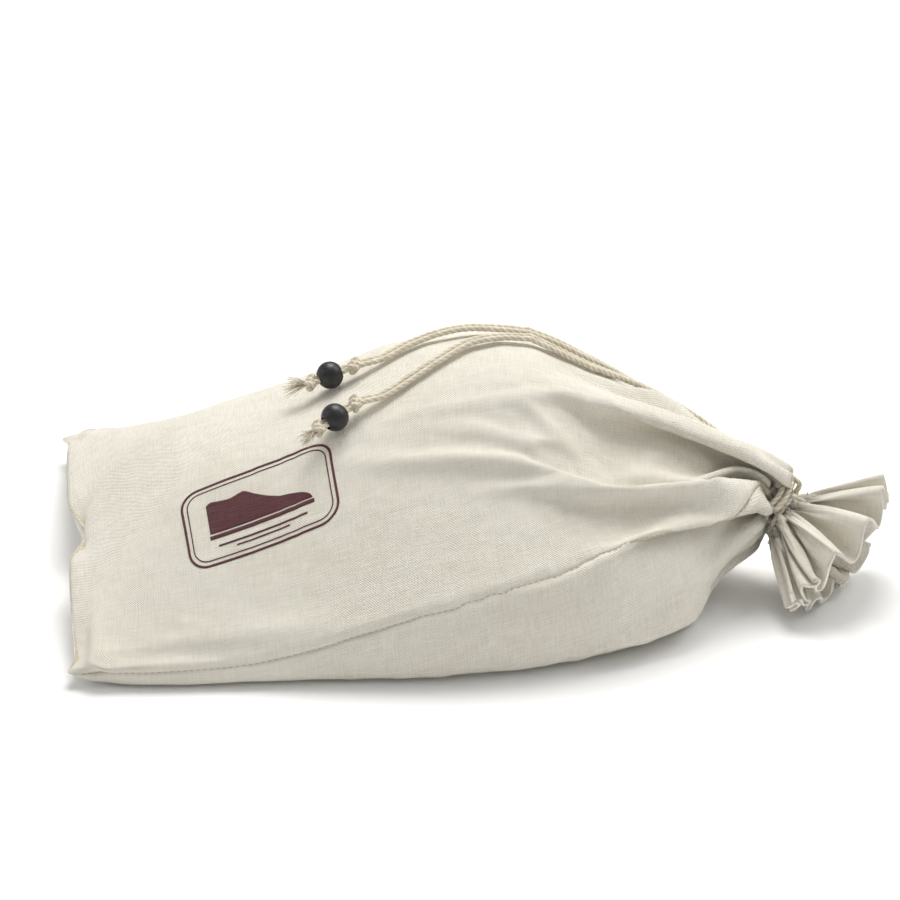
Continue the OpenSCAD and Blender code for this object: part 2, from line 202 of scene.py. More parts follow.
def lay_strand(name, path, diameter, lay_length, around=18, start_turn=0.0):
    """A twisted strand: three plies that wind about the path, closed at both ends."""
    side = Vector((0, 0, 1)).cross(path[1] - path[0]).normalized()
    corners, skin, uv = [], [], []
    gone = 0.0
    for i, p in enumerate(path):
        forward = (path[min(i + 1, len(path) - 1)] - path[max(i - 1, 0)]).normalized()
        side = (side - side.dot(forward) * forward).normalized()
        up = forward.cross(side)
        if i:
            gone += (p - path[i - 1]).length
        turn = start_turn + 2 * math.pi * gone / lay_length
        ends = min(i, len(path) - 1 - i)
        slim = 1.0 if ends > 1 else (0.62, 0.9)[ends]
        for k in range(around):
            angle = 2 * math.pi * k / around
            ply = abs(math.cos(1.5 * (angle - turn)))
            radius = diameter / 2 * (0.70 + 0.32 * ply ** 0.6) * slim
            corners.append(p + radius * (math.cos(angle) * side + math.sin(angle) * up))
            uv.append(((angle - turn) / (2 * math.pi), gone))
    for i in range(len(path) - 1):
        for k in range(around):
            j = (k + 1) % around
            skin.append((i * around + k, i * around + j, (i + 1) * around + j, (i + 1) * around + k))
    skin.append(tuple(range(around - 1, -1, -1)))
    skin.append(tuple((len(path) - 1) * around + k for k in range(around)))
    mesh = bpy.data.meshes.new(name)
    mesh.from_pydata([tuple(c) for c in corners], [], skin)
    layer = mesh.uv_layers.new(name="along_strand")
    for face in mesh.polygons:
        wraps = len(face.vertices) == 4 and face.index % around == around - 1
        for loop, v in zip(face.loop_indices, face.vertices):
            layer.data[loop].uv = (uv[v][0] + (1 if wraps and v % around == 0 else 0), uv[v][1])
        face.use_smooth = True
    mesh.update()
    return placed(name, mesh)


def cotton_cord_finish(name, light, shade):
    """Soft raw cotton: pale plies with painted shade darkening the grooves between them, and fine fibres
    along the twist.
    """
    material = bpy.data.materials.new(name)
    material.use_nodes = True
    tree = material.node_tree
    shader = tree.nodes["Principled BSDF"]
    shader.inputs["Roughness"].default_value = 0.92
    shader.inputs["Sheen Weight"].default_value = 0.18
    shader.inputs["Sheen Roughness"].default_value = 0.5
    strand = tree.nodes.new("ShaderNodeUVMap")
    strand.uv_map = "along_strand"
    place = tree.nodes.new("ShaderNodeTexCoord")
    stretch = tree.nodes.new("ShaderNodeMapping")
    stretch.inputs["Scale"].default_value = (26, 420, 1)
    tree.links.new(strand.outputs["UV"], stretch.inputs["Vector"])
    fibres = tree.nodes.new("ShaderNodeTexNoise")
    fibres.inputs["Scale"].default_value = 1.0
    fibres.inputs["Detail"].default_value = 4
    tree.links.new(stretch.outputs["Vector"], fibres.inputs["Vector"])
    patches = tree.nodes.new("ShaderNodeTexNoise")
    patches.inputs["Scale"].default_value = 260
    tree.links.new(place.outputs["Object"], patches.inputs["Vector"])
    blend = tree.nodes.new("ShaderNodeMath")
    blend.operation = "MULTIPLY"
    tree.links.new(fibres.outputs["Fac"], blend.inputs[0])
    tree.links.new(patches.outputs["Fac"], blend.inputs[1])
    tone = tree.nodes.new("ShaderNodeValToRGB")
    tone.color_ramp.elements[0].position = 0.12
    tone.color_ramp.elements[0].color = shade
    tone.color_ramp.elements[1].position = 0.36
    tone.color_ramp.elements[1].color = light
    tree.links.new(blend.outputs["Value"], tone.inputs["Fac"])
    around = tree.nodes.new("ShaderNodeSeparateXYZ")
    tree.links.new(strand.outputs["UV"], around.inputs["Vector"])
    plies = around.outputs["X"]
    for operation, value in (("MULTIPLY", 3 * math.pi), ("COSINE", 0), ("ABSOLUTE", 0), ("POWER", 0.7)):
        step = tree.nodes.new("ShaderNodeMath")
        step.operation = operation
        tree.links.new(plies, step.inputs[0])
        step.inputs[1].default_value = value
        plies = step.outputs["Value"]
    # Painted shade: a fixed grey-brown is mixed in where the ply phase is low, so the grooves between the
    # plies are darkened as their shade would darken them.
    groove_painted_shade = tree.nodes.new("ShaderNodeMix")
    groove_painted_shade.data_type = "RGBA"
    groove_painted_shade.inputs["A"].default_value = (0.50, 0.44, 0.32, 1)
    tree.links.new(plies, groove_painted_shade.inputs["Factor"])
    tree.links.new(tone.outputs["Color"], groove_painted_shade.inputs["B"])
    tree.links.new(groove_painted_shade.outputs["Result"], shader.inputs["Base Color"])
    bump = tree.nodes.new("ShaderNodeBump")
    bump.inputs["Strength"].default_value = 0.55
    bump.inputs["Distance"].default_value = 0.00025
    tree.links.new(fibres.outputs["Fac"], bump.inputs["Height"])
    tree.links.new(bump.outputs["Normal"], shader.inputs["Normal"])
    return material


raw_cotton = cotton_cord_finish("raw_cotton_cord", (0.86, 0.81, 0.68, 1), (0.62, 0.55, 0.42, 1))

strands = {}
for cord, run, wraps, tail, bead, axis, loop in (
    ("near", NEAR_RUN, (NEAR_WRAP_A, NEAR_WRAP_B), NEAR_TAIL, NEAR_BEAD, NEAR_AXIS,
     around_neck(150, 458, -0.0016)),
    ("far", FAR_RUN, (FAR_WRAP_A, FAR_WRAP_B), FAR_TAIL, FAR_BEAD, FAR_AXIS,
     around_neck(-54, 254, 0.0028)),
):
    run = metres(run)
    tail = metres(tail) + [bead - axis * KNOT_BEFORE, bead + axis * KNOT_AFTER]
    halves = (
        ("a", loop[3::-1] + metres(wraps[0])[::-1] + beside(run, -PITCH / 2)[::-1]
         + beside(tail, PITCH / 2)),
        ("b", loop[3:] + metres(wraps[1])[::-1] + beside(run, PITCH / 2)[::-1]
         + beside(tail, -PITCH / 2)),
    )
    for letter, route in halves:
        path = smooth_line(route, PATH_STEP)
        strand = lay_strand(f"{cord}_cord_strand_{letter}", path, CORD, LAY,
                            start_turn=1.3 if letter == "a" else 0.2)
        strand.data.materials.append(raw_cotton)
        strands[cord, letter] = (strand, path)


# Bag cloth: two equal panels of unbleached cotton canvas, 300 mm wide and 460 mm long, sewn
# together down both sides and across the closed end. The flat bag is laid around a pair of
# shoes, and the draw cords are pulled tight, so the cloth folds as real cloth does.
WIDTH = 0.300
SEAM_TO_NECK = 0.404
CUT_LENGTH = 0.460
STEP = 0.004
COLUMNS = round(WIDTH / STEP)
ROWS = round(CUT_LENGTH / STEP)
NECK_ROW = round(SEAM_TO_NECK / STEP)
CLOSED_END = -0.197
TIMES = 10.0
GATHER_FRAMES = 36
SETTLE_FRAMES = 24
DENT_MIDDLE = -0.012
DENT_DEPTH = 0.014
DENT_REACH = 0.026
PLEATS = 11
MOUTH_FOLDS = 5.5
PLEAT_START = math.radians(112)


def solid_of(*names):
    corners, faces = [], []
    for name in names:
        first = len(corners)
        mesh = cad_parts[name].data
        corners += [tuple(v.co) for v in mesh.vertices]
        faces += [tuple(i + first for i in f.vertices) for f in mesh.polygons]
    return BVHTree.FromPolygons(corners, faces)


bag_solid = solid_of("front_panel", "back_panel")
front_solid = solid_of("front_panel")


def end_skew(x):
    return -0.06 * max(0.0, min(1.0, (-0.10 - x) / 0.09))


def height_at(tree, x, y, down=True):
    start = Vector((x + end_skew(x) * y, y, 0.3 if down else -0.1))
    return tree.ray_cast(start, Vector((0, 0, -1 if down else 1)))[0]


outlines = {}


def girth(x, count):
    """Even points along the front panel and the back panel at x, near seam to far seam."""
    key = (round(x, 4), count)
    if key in outlines:
        return outlines[key]
    inside = [y / 1000 for y in range(-140, 140) if height_at(bag_solid, x, y / 1000)]
    low, high = inside[0], inside[-1]
    edge = [y / 1000 for y in range(-140, 140) if height_at(front_solid, x, y / 1000)]
    spread = [low + (high - low) * (1 - math.cos(math.pi * i / 60)) / 2 for i in range(61)]
    top = [(y, height_at(bag_solid, x, y)) for y in spread]
    bottom = [(y, height_at(bag_solid, x, y, False)) for y in spread]
    ring = np.array([(y, p.z) for y, p in top + bottom[::-1] if p])
    seams = [np.array((y, height_at(front_solid, x, y).z)) for y in (edge[0], edge[-1])]
    near, far = (int(np.argmin(((ring - s) ** 2).sum(1))) for s in seams)
    ring = np.roll(ring, -near, axis=0)
    far = (far - near) % len(ring)
    arcs = []
    around = 0.0
    for arc in (ring[:far + 1], np.vstack([ring[far:], ring[:1]])[::-1]):
        run = np.r_[0, np.cumsum(np.linalg.norm(np.diff(arc, axis=0), axis=1))]
        even = np.linspace(0, run[-1], count + 1)
        arcs.append(np.stack([np.interp(even, run, arc[:, 0]), np.interp(even, run, arc[:, 1])], 1))
        around += run[-1]
    outlines[key] = (arcs[0], arcs[1], around)
    return outlines[key]


cloth_points, flat_points, cell = [], [], {}
for row in range(ROWS + 1):
    along = row * STEP
    x = CLOSED_END + along * (NECK.x - CLOSED_END) / SEAM_TO_NECK
    front, back, around = girth(min(max(x, CLOSED_END + 0.0015), 0.124), COLUMNS)
    widen = max(1.0, min(3.0, 0.585 / around)) if x > 0.03 else 1.0
    widen = 1 + (widen - 1) * min(1, max(0, (x - 0.03) / 0.03))
    middle = np.array([-0.020, 0.0])
    front, back = middle + (front - middle) * widen, middle + (back - middle) * widen
    skew = end_skew(x)
    for col in range(COLUMNS + 1):
        y, z = front[col]
        across = -WIDTH / 2 + col * STEP
        cell[0, row, col] = len(cloth_points)
        cloth_points.append((x + skew * y, y, z + 0.0015))
        flat_points.append((along, across, 0.0005))
        if col in (0, COLUMNS) or row == 0:
            cell[1, row, col] = cell[0, row, col]
        else:
            y, z = back[col]
            cell[1, row, col] = len(cloth_points)
            cloth_points.append((x + skew * y, y, max(z, 0.0) + 0.0005))
            flat_points.append((along, across, -0.0005))
weave_cells = []
for side in (0, 1):
    for row in range(ROWS):
        for col in range(COLUMNS):
            ring = [cell[side, row, col], cell[side, row, col + 1],
                    cell[side, row + 1, col + 1], cell[side, row + 1, col]]
            if side == 0:
                ring.reverse()
            ring = [v for j, v in enumerate(ring) if v not in ring[:j]]
            if len(ring) > 2:
                weave_cells.append(ring)

mesh = bpy.data.meshes.new("draped_cloth")
mesh.from_pydata([tuple(c * TIMES for c in p) for p in cloth_points], [], weave_cells)
drape = placed("draped_cloth", mesh)
drape.shape_key_add(name="Open")
flat_key = drape.shape_key_add(name="Flat")
gather_key = drape.shape_key_add(name="Gathered")
for i, p in enumerate(flat_points):
    flat_key.data[i].co = [c * TIMES for c in p]


def around_at(side, col):
    share = col / (2 * COLUMNS)
    return (share if side == 0 else 1 - share) % 1.0


def neck_pleat(share, distance):
    turn = PLEAT_START - 2 * math.pi * share
    fold = 2 * math.pi * PLEATS * share + 0.9 * math.sin(4 * math.pi * share)
    deep = 0.8 + 0.2 * math.cos(10 * math.pi * share + 2)
    radius = 0.00835 - 0.00485 * math.cos(fold) * deep
    return NECK + distance * OUT + radius * (math.cos(turn) * ACROSS + math.sin(turn) * UPWARD)


def mouth_fan(share, distance):
    turn = PLEAT_START - 2 * math.pi * share
    opened = distance / 0.050
    c, s = math.cos(turn), math.sin(turn)
    wide, deep = 0.009 + (0.045 if c > 0 else 0.056) * opened, 0.009 + 0.012 * opened
    fold = 2 * math.pi * MOUTH_FOLDS * share + 0.45 * math.sin(4 * math.pi * share)
    wave = (0.004 + 0.013 * opened) * (2 * abs(math.cos(fold)) - 1)
    outward = distance * (0.98 if c > 0 else 0.98 - 0.22 * c)
    return (NECK + outward * OUT + (wide * c + wave * c * 0.3) * ACROSS
            + (deep * s + (wave if s > 0 else -wave)) * UPWARD)


held, guided = [], []
for side in (0, 1):
    for col in range(COLUMNS + 1):
        share = around_at(side, col)
        for row in range(NECK_ROW - 1, NECK_ROW + 2):
            p = neck_pleat(share, (row - NECK_ROW) * STEP * 0.8)
            gather_key.data[cell[side, row, col]].co = p * TIMES
            held.append(cell[side, row, col])
        for row in range(NECK_ROW + 2, ROWS + 1):
            p = mouth_fan(share, (row - NECK_ROW) * STEP)
            p.z = max(p.z, 0.002)
            gather_key.data[cell[side, row, col]].co = p * TIMES
            guided.append(cell[side, row, col])
eased = []
for col in range(COLUMNS + 1):
    v = cell[0, 0, col]
    x, y, z = cloth_points[v]
    dent = DENT_DEPTH * max(0, 1 - abs(y - DENT_MIDDLE) / DENT_REACH)
    gather_key.data[v].co = Vector((x + dent - 0.001, y, z - 0.25 * dent)) * TIMES
    (held if col < 3 or col > COLUMNS - 3 or abs(y - DENT_MIDDLE) < 0.006 else eased).append(v)
grip = drape.vertex_groups.new(name="grip")
grip.add(sorted(set(guided)), 0.32, "REPLACE")
doubled = drape.vertex_groups.new(name="doubled")
doubled.add(sorted(set(guided)), 1.0, "REPLACE")
grip.add(eased, 0.75, "REPLACE")
grip.add(sorted(set(held)), 1.0, "REPLACE")
for frame_number in range(1, GATHER_FRAMES + SETTLE_FRAMES + 1):
    pulled = min(1, (frame_number - 1) / GATHER_FRAMES)
    gather_key.value = pulled * pulled * (3 - 2 * pulled)
    gather_key.keyframe_insert("value", frame=frame_number)

SHOE_SIDE = 36
slices = [-0.186, -0.180, -0.170, -0.155, -0.14, -0.12, -0.10, -0.08, -0.06, -0.04, -0.02, 0,
          0.015, 0.03, 0.045, 0.06, 0.075, 0.088, 0.098, 0.106, 0.113, 0.119, 0.123]
end_height = {0: 0.55, 1: 0.72, 2: 0.88, 3: 0.97, 20: 0.96, 21: 0.85, 22: 0.62}
shoe_corners, shoe_faces = [], []
for q, x in enumerate(slices):
    front, back, _ = girth(x, SHOE_SIDE)
    ring = np.vstack([front, back[::-1][1:-1]])
    centre = np.array([ring[:, 0].mean(), (ring[:, 1].max() + ring[:, 1].min()) / 2])
    ease = max(0.0, min(1.0, (x - 0.015) / 0.05))
    high = np.clip((ring[:, 1:2] / max(ring[:, 1].max(), 0.01) - 0.45) / 0.3, 0, 1)
    slack = 0.003 + 0.003 * ease * ease * (3 - 2 * ease) * high
    away = ring - centre
    reach = np.linalg.norm(away, axis=1, keepdims=True)
    size = end_height.get(q, 1)
    ring = centre + away * (1 - slack / np.maximum(reach, 0.02)) * np.array([size if x > 0 else 1, size])
    for y, z in ring:
        shoe_corners.append(((x + end_skew(x) * y) * TIMES, y * TIMES, max(z, 0.001) * TIMES))
ring_size = 2 * SHOE_SIDE
for q in range(len(slices) - 1):
    for j in range(ring_size):
        k = (j + 1) % ring_size
        shoe_faces.append([q * ring_size + j, q * ring_size + k,
                           (q + 1) * ring_size + k, (q + 1) * ring_size + j])
shoe_faces.append(list(range(ring_size))[::-1])
shoe_faces.append([(len(slices) - 1) * ring_size + j for j in range(ring_size)])
mesh = bpy.data.meshes.new("shoes_inside")
mesh.from_pydata(shoe_corners, [], shoe_faces)
shoes_inside = placed("shoes_inside", mesh)
shaped = bmesh.new()
shaped.from_mesh(mesh)
bmesh.ops.recalc_face_normals(shaped, faces=shaped.faces)
bmesh.ops.triangulate(shaped, faces=[f for f in shaped.faces if len(f.verts) > 4])
shaped.to_mesh(mesh)
shaped.free()
bpy.ops.object.select_all(action="DESELECT")
bpy.ops.mesh.primitive_plane_add(size=10, location=(0, 0, -0.008))
table_top = bpy.context.object
for block, rub in ((shoes_inside, 2.0), (table_top, 8.0)):
    block.modifiers.new("firm", "COLLISION")
    block.collision.thickness_outer = 0.012
    block.collision.thickness_inner = 0.1
    block.collision.cloth_friction = rub
    block.collision.damping = 0.5

canvas_sim = drape.modifiers.new("canvas", "CLOTH")
canvas = canvas_sim.settings
canvas.quality = 6
canvas.mass = 0.06
canvas.air_damping = 1.5
canvas.bending_model = "ANGULAR"
canvas.tension_stiffness = canvas.compression_stiffness = 30
canvas.shear_stiffness = 8
canvas.bending_stiffness = 2.5
canvas.bending_stiffness_max = 14
canvas.tension_damping = canvas.compression_damping = canvas.shear_damping = 8
canvas.bending_damping = 1.0
canvas.vertex_group_mass = "grip"
canvas.vertex_group_bending = "doubled"
canvas.pin_stiffness = 5.0
canvas.rest_shape_key = flat_key
canvas_sim.collision_settings.collision_quality = 3
canvas_sim.collision_settings.distance_min = 0.008
canvas_sim.collision_settings.use_self_collision = True
canvas_sim.collision_settings.self_distance_min = 0.005
canvas_sim.collision_settings.self_friction = 2
scene.gravity = (0, 0, -30)
scene.frame_start = 1
scene.frame_end = GATHER_FRAMES + SETTLE_FRAMES
canvas_sim.point_cache.frame_start = 1
canvas_sim.point_cache.frame_end = GATHER_FRAMES + SETTLE_FRAMES + 1

last_frame = GATHER_FRAMES + SETTLE_FRAMES
for frame_number in range(1, last_frame + 1):
    scene.frame_set(frame_number)
settled = drape.evaluated_get(bpy.context.evaluated_depsgraph_get()).to_mesh()
P = np.empty(len(cloth_points) * 3)
settled.vertices.foreach_get("co", P)
P = P.reshape(-1, 3) / TIMES
for helper in (drape, shoes_inside, table_top):
    bpy.data.objects.remove(helper)
scene.frame_set(1)
scene.gravity = (0, 0, -9.81)

# The cords press the cloth down where they lie on it, and each seam pulls its edge in.
grid = np.array([[[cell[side, row, col] for col in range(COLUMNS + 1)]
                  for row in range(ROWS + 1)] for side in (0, 1)])
near_heel_end = np.clip((P[:, 0] - 0.100) / 0.022, 0, 1) * np.clip((0.050 - P[:, 2]) / 0.030, 0, 1)
near_heel_end *= np.clip((np.linalg.norm(P - np.array(NECK), axis=1) - 0.019) / 0.018, 0, 1)
near_heel_end *= np.arange(len(P)) < cell[0, NECK_ROW - 1, 0]
P[:, 0] -= 0.010 * near_heel_end
PRESS_REACH = 0.014
PRESS_EASE = 0.0095
for strand, path in strands.values():
    line = np.array(path[::3])
    line = line[line[:, 0] < 0.140]
    for i in np.where((P[:, 2] > 0.04) & (P[:, 0] > -0.08) & (P[:, 0] < 0.140))[0]:
        gap = np.hypot(line[:, 0] - P[i, 0], line[:, 1] - P[i, 1])
        k = int(np.argmin(gap))
        if gap[k] < PRESS_REACH:
            over = P[i, 2] - (line[k, 2] - CORD / 2 - 0.0010)
            if over > 0:
                fall = min(1.0, (PRESS_REACH - gap[k]) / PRESS_EASE)
                P[i, 2] -= over * fall * fall * (3 - 2 * fall)


def cloth_normals():
    mesh = bpy.data.meshes.new("measure")
    mesh.from_pydata([tuple(p) for p in P], [], weave_cells)
    mesh.update()
    normals = np.empty(len(P) * 3)
    mesh.vertices.foreach_get("normal", normals)
    bpy.data.meshes.remove(mesh)
    return normals.reshape(-1, 3)


normals = cloth_normals()
for row in range(0, NECK_ROW - 2):
    for col in (0, COLUMNS):
        v = grid[0, row, col]
        P[v] -= normals[v] * 0.0016
        for side in (0, 1):
            n1 = grid[side, row, 1 if col == 0 else COLUMNS - 1]
            pucker = 0.5 + 0.5 * math.sin(row * 2.1 + side * 1.4 + 0.7 * math.sin(row * 0.9))
            P[n1] += normals[n1] * (0.0002 + 0.0008 * pucker)
for col in range(1, COLUMNS):
    v = grid[0, 0, col]
    for side in (0, 1):
        n1 = grid[side, 1, col]
        P[n1] += normals[n1] * (0.0004 + 0.0007 * (0.5 + 0.5 * math.sin(col * 1.9 + side)))
P[:, 2] = np.maximum(P[:, 2], 0.0004)


def canvas_finish(name, light, mid_tone_and_weave_shade, fleck):
    """Plain-woven raw cotton: cream, slubby threads a little over a millimetre apart, a few seed husks, and
    painted shade between the threads where the weave's relief is darkened into the colour.
    """
    material = bpy.data.materials.new(name)
    material.use_nodes = True
    tree = material.node_tree
    links = tree.links
    shader = tree.nodes["Principled BSDF"]
    shader.inputs["Roughness"].default_value = 0.93
    shader.inputs["Sheen Weight"].default_value = 0.12
    shader.inputs["Sheen Roughness"].default_value = 0.6
    cut = tree.nodes.new("ShaderNodeUVMap")
    cut.uv_map = "cut_cloth"

    def mapped(scale, kind, detail=2.0, source=None):
        stretch = tree.nodes.new("ShaderNodeMapping")
        stretch.inputs["Scale"].default_value = scale
        links.new((source or cut.outputs["UV"]), stretch.inputs["Vector"])
        texture = tree.nodes.new(kind)
        texture.inputs["Scale"].default_value = 1.0
        if "Detail" in texture.inputs:
            texture.inputs["Detail"].default_value = detail
        links.new(stretch.outputs["Vector"], texture.inputs["Vector"])
        return texture

    def sums(operation, a, b):
        node = tree.nodes.new("ShaderNodeMath")
        node.operation = operation
        for socket, value in zip(node.inputs, (a, b)):
            if isinstance(value, (int, float)):
                socket.default_value = value
            else:
                links.new(value, socket)
        return node.outputs["Value"]

    wander = mapped((170, 170, 1), "ShaderNodeTexNoise")
    split = tree.nodes.new("ShaderNodeSeparateXYZ")
    links.new(cut.outputs["UV"], split.inputs["Vector"])
    drift = sums("MULTIPLY", wander.outputs["Fac"], 1.4)
    warp = sums("SINE", sums("ADD", sums("MULTIPLY", split.outputs["X"], 5000.0), drift), 0)
    weft = sums("SINE", sums("ADD", sums("MULTIPLY", split.outputs["Y"], 4500.0), drift), 0)
    weave = sums("MULTIPLY", warp, weft)
    slub_warp = mapped((70, 1150, 1), "ShaderNodeTexNoise", 3)
    slub_weft = mapped((1150, 80, 1), "ShaderNodeTexNoise", 3)
    slubs = sums("ADD", slub_warp.outputs["Fac"], slub_weft.outputs["Fac"])
    height = sums("ADD", sums("MULTIPLY", weave, 0.42), slubs)
    soft = mapped((14, 14, 1), "ShaderNodeTexNoise", 4)
    cloudy = sums("MULTIPLY", soft.outputs["Fac"], 0.55)
    # Painted shade: the weave's height is added to the random cloudy tone, so the colour darkens between the
    # threads where their relief would be shaded; the slubs and clouds are real tone.
    cloud_tone_and_weave_shade = sums("ADD", cloudy, sums("MULTIPLY", height, 0.52))
    tone = tree.nodes.new("ShaderNodeValToRGB")
    tone.color_ramp.elements[0].position = 0.61
    tone.color_ramp.elements[0].color = mid_tone_and_weave_shade
    tone.color_ramp.elements[1].position = 0.91
    tone.color_ramp.elements[1].color = light
    links.new(cloud_tone_and_weave_shade, tone.inputs["Fac"])
    husks = mapped((95, 150, 1), "ShaderNodeTexVoronoi")
    husks.voronoi_dimensions = "2D"
    husks.inputs["Randomness"].default_value = 1.0
    rare = mapped((37, 37, 1), "ShaderNodeTexNoise", 1)
    spot = sums("LESS_THAN", husks.outputs["Distance"], 0.062)
    chosen = sums("GREATER_THAN", rare.outputs["Fac"], 0.60)
    husk = sums("MULTIPLY", sums("MULTIPLY", spot, chosen), 0.75)
    stain = tree.nodes.new("ShaderNodeMix")
    stain.data_type = "RGBA"
    links.new(husk, stain.inputs["Factor"])
    links.new(tone.outputs["Color"], stain.inputs["A"])
    stain.inputs["B"].default_value = fleck
    links.new(stain.outputs["Result"], shader.inputs["Base Color"])
    bump = tree.nodes.new("ShaderNodeBump")
    bump.inputs["Strength"].default_value = 0.9
    bump.inputs["Distance"].default_value = 0.0005
    links.new(height, bump.inputs["Height"])
    crumple = mapped((75, 95, 1), "ShaderNodeTexNoise", 3)
    puckers = tree.nodes.new("ShaderNodeBump")
    puckers.inputs["Strength"].default_value = 0.5
    puckers.inputs["Distance"].default_value = 0.003
    links.new(crumple.outputs["Fac"], puckers.inputs["Height"])
    links.new(puckers.outputs["Normal"], bump.inputs["Normal"])
    links.new(bump.outputs["Normal"], shader.inputs["Normal"])
    return material


# The darker second colour serves both the random cloudy tone and the painted shade between the threads.
raw_canvas = canvas_finish("raw_cotton_canvas", (0.90, 0.865, 0.765, 1), (0.76, 0.71, 0.60, 1),
                           (0.16, 0.10, 0.05, 1))


def sew_panel(name, side, first_row, last_row, thickness):
    """One piece of the draped cloth, smoothed and given its thickness, with its cut as UVs."""
    rows = range(first_row, last_row + 1)
    corners = [tuple(P[grid[side, row, col]]) for row in rows for col in range(COLUMNS + 1)]
    wide = COLUMNS + 1
    faces = []
    for r in range(len(rows) - 1):
        for col in range(COLUMNS):
            ring = [r * wide + col, r * wide + col + 1, (r + 1) * wide + col + 1, (r + 1) * wide + col]
            faces.append(ring[::-1] if side == 0 else ring)
    mesh = bpy.data.meshes.new(name)
    mesh.from_pydata(corners, [], faces)
    layer = mesh.uv_layers.new(name="cut_cloth")
    for face in mesh.polygons:
        face.use_smooth = True
        for loop, v in zip(face.loop_indices, face.vertices):
            layer.data[loop].uv = ((first_row + v // wide) * STEP + side * 0.5, (v % wide) * STEP)
    mesh.update()
    panel = placed(name, mesh)
    pick(panel)
    smooth = panel.modifiers.new("smooth", "SUBSURF")
    smooth.levels = smooth.render_levels = 1
    thick = panel.modifiers.new("thickness", "SOLIDIFY")
    thick.thickness = thickness
    thick.offset = -1
    for modifier in list(panel.modifiers):
        bpy.ops.object.modifier_apply(modifier=modifier.name)
    for face in panel.data.polygons:
        face.use_smooth = True
    panel.data.materials.append(raw_canvas)
    return panel


# Front panel: one layer of canvas from the closed end to the neck, pulled into folds there.
ONE_LAYER = 0.0009
front_panel = sew_panel("front_panel_cloth", 0, 0, NECK_ROW, ONE_LAYER)
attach(front_panel, "bag")
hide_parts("front_panel")

# Back panel: the same cut, under the shoes, flat where it lies on the table.
back_panel = sew_panel("back_panel_cloth", 1, 0, NECK_ROW, ONE_LAYER)
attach(back_panel, "bag")
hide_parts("back_panel")

# Hems: the last part of each panel, turned in and sewn down to make the cord's tunnel. Past
# the cords it opens in a ruffle of two layers.
TWO_LAYERS = 0.0015
front_hem = sew_panel("front_hem_cloth", 0, NECK_ROW, ROWS, TWO_LAYERS)
back_hem = sew_panel("back_hem_cloth", 1, NECK_ROW, ROWS, TWO_LAYERS)
for hem, node in ((front_hem, "front_hem"), (back_hem, "back_hem")):
    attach(hem, "bag")
    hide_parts(node)


# Side seams and closed end: inside the bag the raw edges are oversewn in a narrow band, and
# outside only the join shows, with a row of short cotton stitches in its groove.
oversewn_edge = canvas_finish("oversewn_edge", (0.74, 0.66, 0.50, 1), (0.55, 0.46, 0.32, 1),
                              (0.2, 0.13, 0.07, 1))
sewing_cotton = cotton_cord_finish("sewing_cotton", (0.62, 0.54, 0.40, 1), (0.42, 0.34, 0.22, 1))


def seam_band(name, edge, inward, reach, node):
    """The oversewn allowance: a thin band with a wavy whipped edge, inside the join."""
    corners, faces, uv = [], [], []
    for i, (p, n) in enumerate(zip(edge, inward)):
        lift = 0.0007 * math.sin(i * 1.7)
        for j, share in enumerate((0.12, 0.5, 1.0)):
            corners.append(p + n * (reach * share + (lift if j == 2 else 0)))
            uv.append((i * 0.002, share * reach))
    for i in range(len(edge) - 1):
        for j in range(2):
            faces.append([i * 3 + j, i * 3 + j + 1, (i + 1) * 3 + j + 1, (i + 1) * 3 + j])
    mesh = bpy.data.meshes.new(name)
    mesh.from_pydata([tuple(c) for c in corners], [], faces)
    layer = mesh.uv_layers.new(name="cut_cloth")
    for face in mesh.polygons:
        for loop, v in zip(face.loop_indices, face.vertices):
            layer.data[loop].uv = uv[v]
    band = placed(name, mesh)
    pick(band)
    thick = band.modifiers.new("thickness", "SOLIDIFY")
    thick.thickness = 0.0012
    thick.offset = 0
    bpy.ops.object.modifier_apply(modifier=thick.name)
    for face in band.data.polygons:
        face.use_smooth = True
    band.data.materials.append(oversewn_edge)
    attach(band, "bag")
    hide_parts(node)


def stitch_row(name, line, ups, stitch, gap, thick, node, proud=0.0):
    """Short rounded stitches laid end to end along a seam line."""
    shape = bmesh.new()
    run = [0.0]
    for i in range(1, len(line)):
        run.append(run[-1] + (line[i] - line[i - 1]).length)
    run = np.array(run)
    xyz = np.array(line)
    up = np.array(ups)
    s = gap
    while s + stitch < run[-1] - gap:
        a, b = (Vector([np.interp(t, run, xyz[:, k]) for k in range(3)]) for t in (s, s + stitch))
        n = Vector([np.interp(s + stitch / 2, run, up[:, k]) for k in range(3)]).normalized()
        forward = (b - a).normalized()
        side = forward.cross(n).normalized()
        n = side.cross(forward)
        rings = []
        for share, size, rise in ((0, 0.35, -0.3), (0.2, 0.9, 0.35), (0.8, 0.9, 0.35), (1, 0.35, -0.3)):
            centre = a.lerp(b, share) + n * (proud + rise * thick)
            rings.append([shape.verts.new(centre + thick / 2 * size
                          * (math.cos(q * math.pi / 3) * side + math.sin(q * math.pi / 3) * n))
                          for q in range(6)])
        for first, second in zip(rings, rings[1:]):
            for q in range(6):
                shape.faces.new((first[q], second[q], second[(q + 1) % 6], first[(q + 1) % 6]))
        shape.faces.new(rings[0])
        shape.faces.new(rings[-1][::-1])
        s += stitch + gap
    bmesh.ops.recalc_face_normals(shape, faces=shape.faces)
    mesh = bpy.data.meshes.new(name)
    shape.to_mesh(mesh)
    shape.free()
    layer = mesh.uv_layers.new(name="along_strand")
    for face in mesh.polygons:
        face.use_smooth = True
        for loop, v in zip(face.loop_indices, face.vertices):
            co = mesh.vertices[v].co
            layer.data[loop].uv = (co.x * 300, co.y)
    row = placed(name, mesh)
    row.data.materials.append(sewing_cotton)
    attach(row, "bag")
    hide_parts(node)


